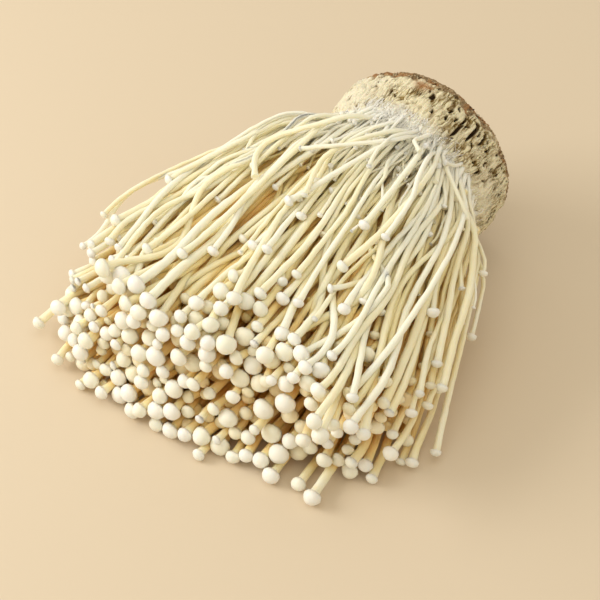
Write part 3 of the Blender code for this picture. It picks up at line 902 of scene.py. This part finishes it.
def makeMushrooms(name, members, tree, inputs):
    paths = mushrooms["paths"][members]
    count, points = paths.shape[:2]
    capSize = np.zeros((count, points))
    capSize[:, -1] = mushrooms["capRadius"][members]
    aim = np.zeros((count, points, 3))
    aim[:, -1] = endAim(paths)
    values = {"thick": mushrooms["thick"][members] * mm, "run": runAlong(paths) * mm, "capSize": capSize * mm,
              "tint": np.repeat(mushrooms["tint"][members][:, None], points, 1),
              "shaded": mushrooms["shaded"][members], "aim": aim}
    return bakeNodes(name, pathMesh(name + "Paths", paths, values), tree, inputs)


def standFor(piece, node):
    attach(piece, "root")
    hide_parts(node)
    return len(piece.data.polygons)


fleshes = {"Stem Material": makeStemFlesh(), "Cap Material": makeCapFlesh()}
mushroomTree = buildMushroomTree()
nodeOf = np.array(mushrooms["node"])
faceCount = 0
for node in sorted(set(nodeOf)):
    name = node.replace("clump_", "mushrooms_").replace("stray_", "lone_").replace("short_", "lone_")
    piece = makeMushrooms(name, np.flatnonzero(nodeOf == node), mushroomTree, {**mushroomShape, **fleshes})
    faceCount += standFor(piece, node)
print("made the mushrooms:", faceCount, "faces")


plugLook = {
    "columns": 880, "seed": 3,
    "sideRows": 60, "domeRows": 10, "faceRows": 24,
    "domeHeight": 4.0, "shoulder": 2.4,
    "foldRelief": 1.9, "strandRelief": 1.3, "smallSlits": 60, "rimWidth": 3.8, "rimRelief": 1.0,
    # the crevice colour is painted shade in the low places and cracks of the felt
    "fibreTan": (0.36, 0.245, 0.075), "fibreHigh": (0.91, 0.82, 0.55), "creviceShade": (0.17, 0.095, 0.022),
    # the slit colour is painted shade inside the slits
    "slitShade": (0.055, 0.030, 0.011), "rimBrown": (0.30, 0.17, 0.07), "rimDark": (0.08, 0.045, 0.02),
    "palePart": (0.92, 0.86, 0.66), "webWhite": (0.91, 0.90, 0.82), "rust": (0.46, 0.19, 0.05),
    "cutFace": (0.42, 0.31, 0.18),
}

# the longer slits: degrees round from the right-hand side over the top, how far back, half length, half width
# and slant
longSlits = (
    (50, 10.3, 4.6, 0.46, 0.05), (58, 6.2, 3.6, 0.42, -0.18), (43, 11.5, 2.8, 0.38, 0.06),
    (58.5, 11, 2.1, 0.26, 0.02), (68, 10.3, 1.5, 0.34, 0.12), (82, 10.6, 1.5, 0.62, 0.10),
    (36.5, 10.6, 1.1, 0.30, 0), (24.5, 9.2, 1.4, 0.28, 0.20), (31, 3.2, 1.3, 0.26, -0.10),
    (121, 10.4, 4, 0.30, -0.12), (141, 13.2, 1.7, 0.42, 0.15), (-7, 6, 3.2, 0.42, 0.20),
    (12, 13, 2, 0.30, -0.15), (165, 8, 3, 0.34, 0.10), (196, 11, 3.4, 0.36, -0.10),
    (-28, 9.5, 2.6, 0.34, 0.10), (216, 6.5, 2.4, 0.30, 0.12),
)


def valueNoise(points, seed):
    # smooth noise from 0 to 1 on a grid of whole numbers
    base = np.floor(points).astype(np.int64)
    part = smoothStep(points - base)
    total = 0
    for corner in range(8):
        step = np.array([corner & 1, corner >> 1 & 1, corner >> 2 & 1])
        x, y, z = np.moveaxis(base + step, -1, 0)
        mixed = x * 73856093 ^ y * 19349663 ^ z * 83492791 ^ seed * 2654435
        mixed = (mixed ^ mixed >> 13) * 1274126177 & 0x7FFFFFFF
        mixed = (mixed ^ mixed >> 11) * 668265263 & 0x7FFFFFFF
        weight = np.prod(np.where(step == 1, part, 1 - part), -1)
        total = total + weight * (mixed % 65536) / 65535
    return total


def unevenness(points, seed):
    return valueNoise(points, seed) - 0.5


def ridged(points, seed):
    return 1 - np.abs(2 * valueNoise(points, seed) - 1)


def onPlug(turn, radius, along):
    # along is how far back from the foot, which is where the stems leave the plug
    sideways, upwards = radius * np.cos(turn), radius * np.sin(turn)
    return (footCentre + sideways[..., None] * plugSide + upwards[..., None] * plugUp
            + along[..., None] * plugAxis)


def turnFrom(turn, centre):
    # the short way round from the centre, in radians
    return (turn - centre + math.pi) % (2 * math.pi) - math.pi


def openSlits(turn, along):
    # how open a slit is at each place: the long ones where they are, and small ones wherever there is room
    rng = np.random.default_rng(plugLook["seed"])
    radius = plugSizes["radius"]
    placed = [(math.radians(degrees), *rest) for degrees, *rest in longSlits]
    while len(placed) < len(longSlits) + plugLook["smallSlits"]:
        spot = (rng.uniform(0, 2 * math.pi) if len(placed) % 2 else math.radians(rng.uniform(-5, 110)),
                rng.uniform(2.5, plugSizes["length"] - 2.5), rng.uniform(0.5, 1.3), rng.uniform(0.20, 0.34),
                rng.uniform(-0.3, 0.3))
        apart = min(math.hypot((spot[0] - other[0]) * radius, (spot[1] - other[1]) * 0.5) for other in placed)
        placed.append(spot if apart > 1.5 else placed[0])
    opening, halo = np.zeros_like(turn), np.zeros_like(turn)
    for centreTurn, centre, half, width, slant in placed:
        ahead = (along - centre) / half
        bend = 0.25 * np.sin(ahead * 2.4 + centre)
        sideways = (turnFrom(turn, centreTurn) * radius - slant * (along - centre) - bend) / (width * 1.35)
        opening = np.maximum(opening, np.clip(1 - sideways ** 2 - ahead ** 2, 0, 1) ** 0.5)
        halo = np.maximum(halo, np.clip(1 - (sideways / 2.6) ** 2 - (ahead / 1.3) ** 2, 0, 1))
    return opening, halo


def plugProfile(startU):
    # how far out and how far back each row is, and its part of the plug: the front dome from its middle,
    # the side back from the shoulder, and the cut face from the rim to its middle
    look, length, rounding = plugLook, plugSizes["length"], plugSizes["rounding"]
    domeT = np.linspace(0, 1, look["domeRows"] + 1)[1:, None]
    sideT = np.linspace(0, 1, look["sideRows"] + 1)[1:-1, None]
    faceT = np.linspace(1, 0, look["faceRows"] + 1)[:-1, None]
    domeR = (plugSizes["radius"] - 1.5) * domeT + 0 * startU
    domeU = startU * domeT ** 2 - look["domeHeight"] * (1 - domeT ** 2)
    sideU = mix(startU, length, sideT)
    sideR = plugSizes["radius"] + plugSizes["swell"] * np.sin(math.pi * np.clip(sideU / length, 0, 1))
    sideR = sideR - 1.5 * (1 - smoothStep((sideU - startU) / look["shoulder"]))
    sideR = sideR - rounding * smoothStep((sideU - length + 2.0) / 2.0) ** 2
    faceR = (plugSizes["radius"] - rounding) * faceT + 0 * startU
    rows = (domeR, sideR, faceR)
    part = np.concatenate([np.full_like(row, index) for index, row in enumerate(rows)])
    return np.concatenate(rows), np.concatenate([domeU, sideU, np.full_like(faceR, length)]), part


def ringMesh(name, places, ends):
    # rings of quads, closed by a fan at each end
    count, columns = places[..., 0].size, places.shape[1]
    index = np.arange(count).reshape(-1, columns)
    beside = np.roll(index, -1, 1)
    quads = np.stack([index[1:], beside[1:], beside[:-1], index[:-1]], -1).reshape(-1, 4)
    startFan = [(count, b, a) for a, b in zip(index[0], beside[0])]
    endFan = [(count + 1, a, b) for a, b in zip(index[-1], beside[-1])]
    mesh = bpy.data.meshes.new(name)
    mesh.from_pydata((np.concatenate([places.reshape(-1, 3), ends]) * mm).tolist(), [],
                     [tuple(face) for face in quads.tolist()] + startFan + endFan)
    mesh.shade_smooth()
    return mesh


def plugMarks(turn, along, fromFoot, flat, rimward, onSide):
    # pale where threads still cover it: near the stems, over the upper left, and low on the right
    def nearTurn(degrees, width):
        return np.exp(-(turnFrom(turn, math.radians(degrees)) / math.radians(width)) ** 2)

    pale = np.clip(1 - fromFoot / mix(3.0, 7.5, nearTurn(84, 22)), 0, 1)
    pale = np.maximum(pale, nearTurn(134, 24) * (1 - 0.6 * rimward))
    pale = np.maximum(pale, nearTurn(14, 16) * np.clip(1.2 - along / 12, 0, 1) * 0.9)
    pale = np.clip(pale + unevenness(flat / 3.5, 7) * 0.9 * (pale > 0.02), 0, 1)
    rust = np.exp(-((turn - math.radians(91)) * 30 / 2.6) ** 2 - ((along - 13.0) / 1.9) ** 2)
    rust = np.clip(rust + 0.6 * rimward * (valueNoise(flat / 1.8, 13) > 0.62), 0, 1) * onSide
    web = onSide * nearTurn(88, 30) * np.clip(1.3 - fromFoot / 4.2, 0, 1)
    return {"pale": pale, "rust": rust, "web": web}


def makePlugMesh():
    look, length = plugLook, plugSizes["length"]
    columns = look["columns"]
    theta = np.arange(columns) / columns * 2 * math.pi
    ring = np.stack([np.cos(theta), np.sin(theta), np.zeros(columns)], -1)
    startU = -0.6 - 2.4 * np.clip(np.sin(theta), 0, 1) ** 2 + unevenness(ring * 9, 11) * 2.2
    startU += unevenness(ring * 26, 12) * 1.6
    radius, along, part = plugProfile(startU)
    onSide = (part == 1).astype(float)
    turn = np.repeat(theta[None], len(radius), 0)
    flat = np.stack([radius * np.cos(turn), radius * np.sin(turn), along], -1)

    # folds and strands run along the side and wander a little round it
    sway = unevenness(flat / (8, 8, 6), 1) * 6.0
    around = np.stack([radius * np.cos(turn) + sway, radius * np.sin(turn) + sway, along * 0.17], -1)
    strands = 0.40 * ridged(around / 1.9, 2) + 0.60 * ridged(around / 0.8, 3) - 0.5
    folds = unevenness(around / (5.5, 5.5, 2.2), 6)
    overTopBy = np.clip(np.sin(turn - 0.2), 0, 1) ** 2
    rimward = along - length + look["rimWidth"] + 1.4 * overTopBy + 4.5 * unevenness(flat / 2.2, 9)
    rimward = np.where(part == 2, 1, smoothStep(rimward / 1.6) * onSide)
    crumbs = valueNoise(flat / 0.85, 4) * 0.6 + valueNoise(flat / 0.45, 5) * 0.4 - 0.5
    slit, halo = openSlits(turn, along)
    slit *= onSide * (1 - 0.4 * rimward)

    fromFoot = along - startU
    ragged = onSide * smoothStep(fromFoot / 2.0)
    outward = onSide * (look["strandRelief"] * strands * (1 - 0.6 * rimward) - 1.7 * slit)
    outward += ragged * (folds * look["foldRelief"] + crumbs * look["rimRelief"] * rimward - 0.3 * rimward)
    outward += ragged * np.exp(-((turnFrom(turn, math.radians(142)) / 0.45) ** 2)) * 0.8
    lumps = unevenness(flat / 7.0, 10)
    edgeFade = smoothStep((plugSizes["radius"] - plugSizes["rounding"] - radius) / 2.5)
    forward = np.where(part == 2, (crumbs * 1.1 + lumps * 1.4 - 0.55) * mix(0.5, 1.0, edgeFade) - 0.2, 0)
    forward = np.where(part == 0, unevenness(flat / 1.6, 8) * 1.6, forward)
    forward += onSide * 0.4 * crumbs * rimward
    places = onPlug(turn, radius + outward, along + forward)
    places[..., 2] = np.maximum(places[..., 2], 0.02)

    ends = [footCentre - plugAxis * look["domeHeight"], footCentre + plugAxis * (length - 0.6)]
    mesh = ringMesh("felted_roots", places, ends)
    relief = 0.55 + strands * 1.5 + folds * 0.6 + crumbs * 0.5 * rimward - slit * 1.6 - halo * 0.22
    values = {"relief": np.clip(relief, 0, 1), "rimward": rimward, "slit": slit,
              "cutFace": (part == 2).astype(float), **plugMarks(turn, along, fromFoot, flat, rimward, onSide)}
    storeValues(mesh, {key: np.append(value.ravel(), [0.5, 0.5]) for key, value in values.items()})
    return mesh


def makeRootFelt():
    look = plugLook
    material, tree, shader = newMaterial("rootFelt", {
        "Roughness": 0.85, "Specular IOR Level": 0.25, "Subsurface Weight": 0.12,
        "Subsurface Radius": (0.001, 0.0006, 0.0003), "Subsurface Scale": 1.0})
    place = objectPlace(tree)
    fine, patches = noiseOver(place, 1500.0, 4.0), noiseOver(place, 150.0, 3.0)

    # the grain is drawn out along the plug's axis, and the cracks sway as they follow it
    drawn = addNode(tree, "ShaderNodeMapping", {
        "Vector": place, "Rotation": (0, 0, -turnedBy), "Scale": (1, 0.13, 1)})
    grain = noiseOver(drawn, 900.0, 3.0, Distortion=1.2)
    sway = vectorMaths("MULTIPLY", {0: noiseOver(place, 260.0, 1.0, "Color"), 1: (0.0022, 0.0022, 0.0022)})
    cells = {"Vector": vectorMaths("ADD", {0: drawn, 1: sway}), "Scale": 820.0}
    cracks = addNode(tree, "ShaderNodeTexVoronoi", cells, "Distance", feature="DISTANCE_TO_EDGE")
    relief, rimward, pale, slit, rust, web, cutFace = (
        painted(tree, name) for name in ("relief", "rimward", "pale", "slit", "rust", "web", "cutFace"))
    cracked = cracks.span(0.16, 0.02) * patches.span(0.62, 0.42) * pale.span(1.1, 0.1)
    level = relief + (fine - 0.5) * 0.5 + (grain - 0.5) * 1.3 - cracked * 0.50
    fibre = layered(look, "fibreTan", (level.span(0.40, 0.92), "fibreHigh"))
    patched = layered(look, fibre, (patches.span(0.42, 0.62), "palePart"))
    # painted shade: the low places, cracks and rings round the slits are painted dark
    fibre = layered(look, fibre, (0.35, patched), (level.span(0.36, 0.06), "creviceShade"),
                    (pale * level.span(-0.1, 0.45), "palePart"))
    rim = layered(look, "rimDark", (level.span(0.25, 0.75), "rimBrown"), (fine.span(0.56, 0.72), "fibreHigh"))
    face = layered(look, "cutFace", (patches.span(0.4, 0.62), "fibreHigh"),
                   (level.span(0.45, 0.15), "rimDark"))
    # painted shade: the slits are painted near black as the shade inside them
    colour = layered(
        look, fibre, (rimward * 0.85, rim), (rust * 0.8, "rust"), (cutFace, face),
        (web * grain.span(0.30, 0.50), "webWhite"), (slit.span(0.10, 0.75), "slitShade"))
    finishSkin(shader, colour, grain * 1.6 + fine - cracked, 0.85, 0.0007)
    return material


plug = placeObject("felted_roots", makePlugMesh())
plug.data.materials.append(makeRootFelt())
print("made the plug:", standFor(plug, "root_plug"), "faces")


# the threads of the felt that run over the feet of the stems, and the crumbs that cling to the rim
threadLook = {
    "count": 460, "webbed": 0.74, "points": 12, "seed": 21, "radius": (0.06, 0.16), "drift": 0.09,
    "white": (0.955, 0.94, 0.86),
}
threadShape = {"Thread Sides": 5, "Stem Step": 0.0008, "Thread Lumps": 0.00005}
crumbLook = {
    "rim": 480, "face": 90, "seed": 22, "size": (0.14, 0.48),
    "dark": (0.10, 0.055, 0.025), "rust": (0.40, 0.19, 0.07), "cream": (0.72, 0.62, 0.42),
}
crumbShape = {"Crumb Lumps": 0.00012, "Crumb Seed": 8}


def growThreads():
    # most of them make a web over the top, and the others are spread round both sides
    rng = np.random.default_rng(threadLook["seed"])
    count, points = threadLook["count"], threadLook["points"]
    t = np.linspace(0, 1, points)[None]
    webbed = np.arange(count) < threadLook["webbed"] * count
    turn = np.radians(np.where(webbed, rng.normal(88, 19, count), rng.uniform(-25, 205, count)))[:, None]
    turn = turn + t * (rng.normal(0, threadLook["drift"], count) * np.where(webbed, 1.6, 1.0))[:, None]
    turn = turn + wanderAlong(rng, count, points, 3) * 0.010
    start = np.where(webbed, rng.uniform(-0.5, 3.5, count), rng.uniform(-1.5, 2.0, count))[:, None]
    along = start - t * np.where(webbed, rng.uniform(4, 14, count), rng.uniform(3, 8, count))[:, None]
    radius = mix(28.9, 30.4, smoothStep((along + 3.5) / 4.5)) + rng.uniform(-0.5, 0.3, (count, 1))
    paths = onPlug(turn, radius + wanderAlong(rng, count, points, 3) * 0.16, along)
    thick = rng.uniform(*threadLook["radius"], (count, 1)) * mix(1.0, 0.45, t)
    return paths, np.clip(thick, 0.03, 1)


def makeThreads():
    tree, given = newNodeTree("sweepThreads", threadShape, ("Thread Material",))
    threads = shakeSurface(sweepStems(tree, given, given["Thread Sides"]), given["Thread Lumps"], 900.0)
    joinAndFinish(tree, ((threads, given["Thread Material"]),))
    material = newMaterial("threadFelt", {
        "Base Color": (*threadLook["white"], 1), "Roughness": 0.7, "Subsurface Weight": 0.4,
        "Subsurface Radius": (0.0006, 0.0006, 0.0005), "Subsurface Scale": 1.0})[0]
    paths, thick = growThreads()
    return bakeNodes("root_threads", pathMesh("rootThreadPaths", paths, {"thick": thick * mm}), tree,
                     {**threadShape, "Thread Material": material})


def makeCrumbFelt():
    material, tree, shader = newMaterial("crumbFelt", {"Roughness": 0.85, "Specular IOR Level": 0.25})
    tint = painted(tree, "tint")
    layers = (tint.span(0.25, 0.55), "rust"), (tint.span(0.62, 0.80), "cream")
    finishSkin(shader, layered(crumbLook, "dark", *layers))
    return material


def makeCrumbs():
    rng = np.random.default_rng(crumbLook["seed"])
    length, count = plugSizes["length"], crumbLook["rim"] + crumbLook["face"]
    onRim = np.arange(count) < crumbLook["rim"]
    turn = rng.uniform(0, 2 * math.pi, count)
    along = np.where(onRim, length - 3.4 * rng.uniform(0, 1, count) ** 1.6, length - 0.3)
    rimRadius = plugSizes["radius"] - plugSizes["rounding"] * smoothStep((along - length + 2) / 2) ** 2
    places = onPlug(turn, np.where(onRim, rimRadius - 0.1, 27 * np.sqrt(rng.uniform(0, 1, count))), along)
    size = mix(*crumbLook["size"], rng.uniform(0, 1, count) ** 1.5)
    places[:, 2] = np.maximum(places[:, 2], size * 1.2 + 0.05)
    values = {"size": size * mm, "tint": rng.uniform(0, 1, count)}

    tree, given = newNodeTree("scatterCrumbs", crumbShape, ("Crumb Material",))
    spin = randomVector((0, 0, 0), (6.28, 6.28, 6.28), given["Crumb Seed"])
    squash = randomVector((0.6, 0.8, 0.6), (1.1, 1.6, 1.0), given["Crumb Seed"])
    crumbs = addNode(tree, "GeometryNodeInstanceOnPoints", {
        "Points": given["Geometry"], "Rotation": spin,
        "Instance": addNode(tree, "GeometryNodeMeshIcoSphere", {"Radius": 1.0, "Subdivisions": 1}),
        "Scale": vectorMaths("SCALE", {0: squash, "Scale": namedValue(tree, "size")})})
    crumbs = shakeSurface(realize(crumbs), given["Crumb Lumps"], 900.0)
    joinAndFinish(tree, ((crumbs, given["Crumb Material"]),))
    return bakeNodes("rim_crumbs", pathMesh("crumbPlaces", places[:, None], values), tree,
                     {**crumbShape, "Crumb Material": makeCrumbFelt()})


for piece in (makeThreads(), makeCrumbs()):
    print("made", piece.name + ":", standFor(piece, "root_plug"), "faces")


studio = {
    "floorColour": (0.73, 0.62, 0.47), "floorSize": 3.0,
    "lens": 108.0, "azimuth": 39.0, "elevation": 48.0, "distance": 0.560,
    "target": (0.8, -51.2, -12.0),      # from the middle of the plug's foot
    "sky": 0.70, "skyColour": (1.0, 0.91, 0.75),
}
# each lamp: where it stands, how wide it is, its power and its colour
lamps = {"windowKey": ((-0.55, -0.39, 0.40), 0.40, 3.4, (1.0, 0.98, 0.94)),
         "topFill": ((0.10, -0.10, 0.95), 0.8, 1.6, (1.0, 0.99, 0.97))}


def makeFloor():
    size = studio["floorSize"]
    corners = [(-size, -size, 0), (size, -size, 0), (size, size, 0), (-size, size, 0)]
    mesh = bpy.data.meshes.new("floor")
    mesh.from_pydata(corners, [], [(0, 1, 2, 3)])
    mesh.materials.append(newMaterial("floorPaint", {
        "Base Color": (*studio["floorColour"], 1), "Roughness": 0.85, "Specular IOR Level": 0.2})[0])
    placeObject("floor", mesh)


def addLamps():
    for name, (position, size, power, colour) in lamps.items():
        lamp = bpy.data.lights.new(name, "AREA")
        lamp.shape = "RECTANGLE"
        lamp.size = lamp.size_y = size
        lamp.energy, lamp.color = power, colour
        holder = placeObject(name, lamp)
        holder.location = position
        holder.rotation_euler = (Vector((0, 0, 0.02)) - Vector(position)).to_track_quat("-Z", "Y").to_euler()


def makeStudio():
    makeFloor()
    addLamps()
    world = bpy.data.worlds.new("studioAir")
    bpy.context.scene.world = world
    world.use_nodes = True
    sky = world.node_tree.nodes["Background"].inputs
    sky["Color"].default_value = (*studio["skyColour"], 1)
    sky["Strength"].default_value = studio["sky"]

    azimuth, elevation = math.radians(studio["azimuth"]), math.radians(studio["elevation"])
    back = Vector((math.sin(azimuth) * math.cos(elevation), -math.cos(azimuth) * math.cos(elevation),
                   math.sin(elevation)))
    camera = bpy.data.cameras.new("camera")
    camera.lens = studio["lens"]
    camera.clip_start = 0.01
    holder = placeObject("camera", camera)
    holder.location = Vector((footCentre + studio["target"]) * mm) + back * studio["distance"]
    holder.rotation_euler = back.to_track_quat("Z", "Y").to_euler()
    bpy.context.scene.camera = holder
    bpy.context.scene.view_settings.view_transform = "Standard"


makeStudio()
